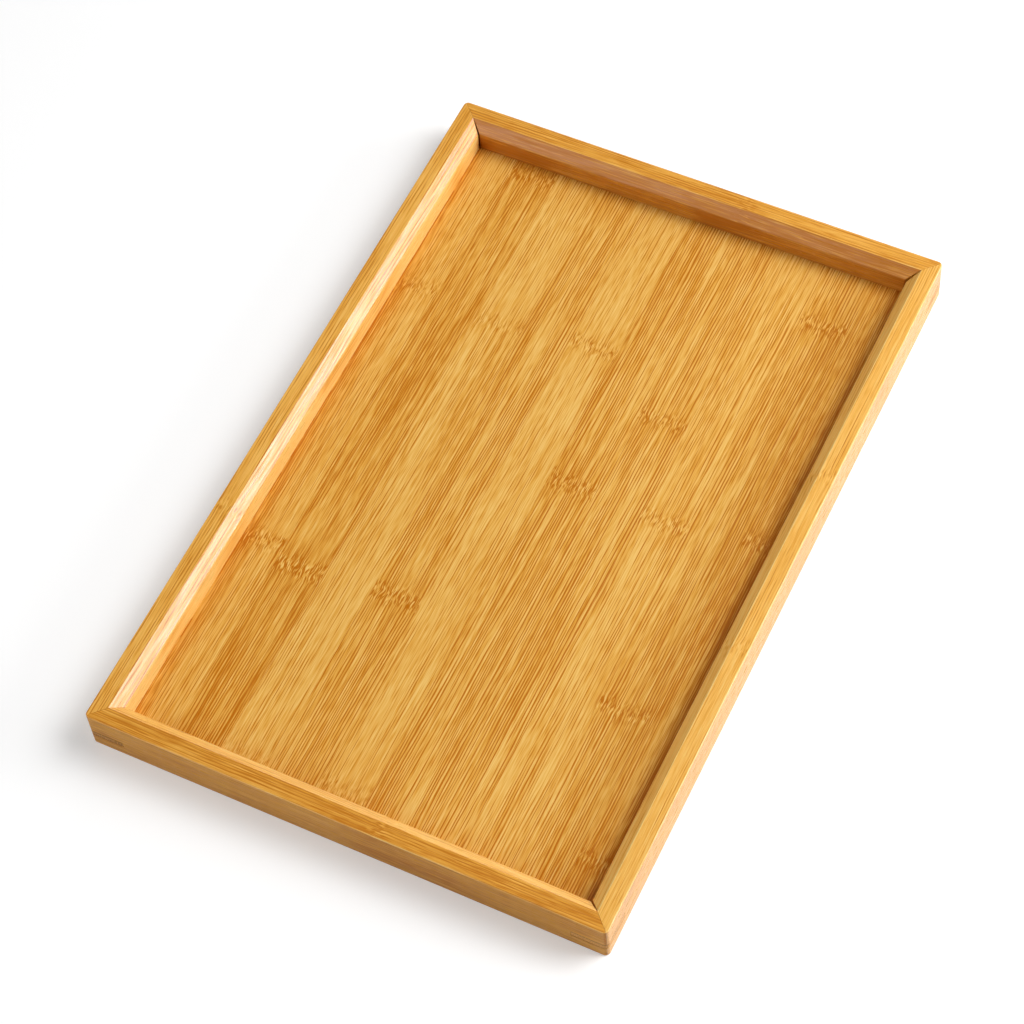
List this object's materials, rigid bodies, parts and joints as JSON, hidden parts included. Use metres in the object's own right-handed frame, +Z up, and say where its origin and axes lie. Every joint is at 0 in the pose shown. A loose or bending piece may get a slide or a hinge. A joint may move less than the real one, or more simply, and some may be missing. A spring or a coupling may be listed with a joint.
{
  "type": "serving tray",
  "caption": "Shallow rectangular bamboo serving tray with mitred chamfered rails, feather-keyed corners and a floor of edge-glued strips held in a groove.",
  "frame": {"origin": "on the surface that the tray stands on, under the middle of its outline", "axes": "+X along the length towards the back rail, +Y across the width towards the left rail, +Z up"},
  "size_m": [0.33, 0.22, 0.02],
  "materials": {
    "rail_bamboo": "semi-gloss clear lacquer over golden bamboo",
    "key_bamboo": "semi-gloss clear lacquer over browner bamboo",
    "floor_bamboo": "semi-gloss clear lacquer over honey bamboo strips"
  },
  "bodies": {
    "root": {"right_rail": "rail_bamboo", "back_rail": "rail_bamboo", "left_rail": "rail_bamboo", "front_rail": "rail_bamboo", "corner_key_front_right": "key_bamboo", "corner_key_back_right": "key_bamboo", "corner_key_back_left": "key_bamboo", "corner_key_front_left": "key_bamboo", "panel_strip_01": "floor_bamboo", "panel_strip_02": "floor_bamboo", "panel_strip_03": "floor_bamboo", "panel_strip_04": "floor_bamboo", "panel_strip_05": "floor_bamboo", "panel_strip_06": "floor_bamboo", "panel_strip_07": "floor_bamboo", "panel_strip_08": "floor_bamboo", "panel_strip_09": "floor_bamboo", "panel_strip_10": "floor_bamboo"}
  },
  "joints": []
}
